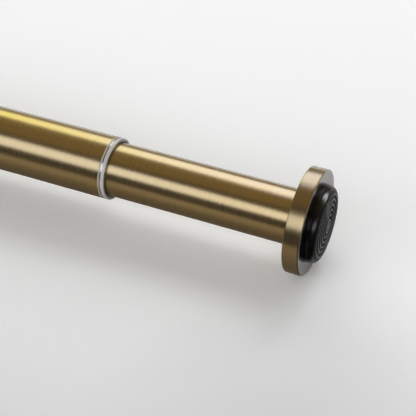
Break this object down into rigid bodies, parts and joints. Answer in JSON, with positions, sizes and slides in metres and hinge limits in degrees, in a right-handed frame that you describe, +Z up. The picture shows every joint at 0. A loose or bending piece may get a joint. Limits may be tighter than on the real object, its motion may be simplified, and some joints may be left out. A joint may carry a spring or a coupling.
{
  "type": "tension curtain rod",
  "caption": "Telescoping tension curtain rod with a twist lock and inner spring, round flanges and ridged rubber feet, in brushed antique brass.",
  "frame": {"origin": "middle of the fixed foot's face, where it meets the wall", "axes": "+X along the rod from the fixed foot to the sliding foot, +Z up"},
  "size_m": [0.7873, 0.0416, 0.0416],
  "materials": {
    "antique_brass": "antique brass plate, brushed round the rod, satin",
    "clear_plastic": "clear plastic with a grey cast, glossy",
    "black_rubber": "black rubber with a soft gloss",
    "white_plastic": "natural nylon, matt",
    "zinc_steel": "zinc-plated steel, bright",
    "spring_steel": "drawn spring steel, lightly oiled"
  },
  "bodies": {
    "outer": {"outer_tube": "antique_brass", "mouth_ring": "clear_plastic", "fixed_flange": "antique_brass", "fixed_foot_pad": "black_rubber", "fixed_foot_core": "white_plastic", "fixed_flange_screw": "zinc_steel", "fixed_end_plug": "white_plastic"},
    "glide": {"glide_ring": "white_plastic"},
    "inner": {"inner_tube": "antique_brass", "guide_bush": "white_plastic", "spring_stop": "white_plastic", "sliding_flange": "antique_brass", "sliding_foot_pad": "black_rubber", "sliding_foot_core": "white_plastic", "sliding_flange_screw": "zinc_steel", "sliding_end_plug": "white_plastic", "compression_spring": "spring_steel"},
    "plunger": {"plunger_rod": "zinc_steel", "plunger_head": "white_plastic", "plunger_pin": "zinc_steel", "thrust_washer": "zinc_steel", "cam_hub": "white_plastic", "cam_washer": "zinc_steel", "cam_screw": "zinc_steel"},
    "cam": {"cam_ring": "white_plastic"}
  },
  "joints": [
    {"name": "telescope", "type": "slide", "parent": "outer", "child": "glide", "axis": [1, 0, 0], "range_m": [-0.0762, 0.433]},
    {"name": "twist", "type": "hinge", "parent": "glide", "child": "inner", "pos_m": [0.2417, 0, 0], "axis": [1, 0, 0], "continuous": true},
    {"name": "spring_travel", "type": "slide", "parent": "inner", "child": "plunger", "axis": [1, 0, 0], "range_m": [0, 0.025], "stiffness_N_per_m": 3000, "springref_m": -0.01, "deforming": ["compression_spring"]},
    {"name": "cam_lock", "type": "hinge", "parent": "plunger", "child": "cam", "pos_m": [0.2013, 0, 0.0012], "axis": [1, 0, 0], "range_deg": [-20, 20]}
  ]
}
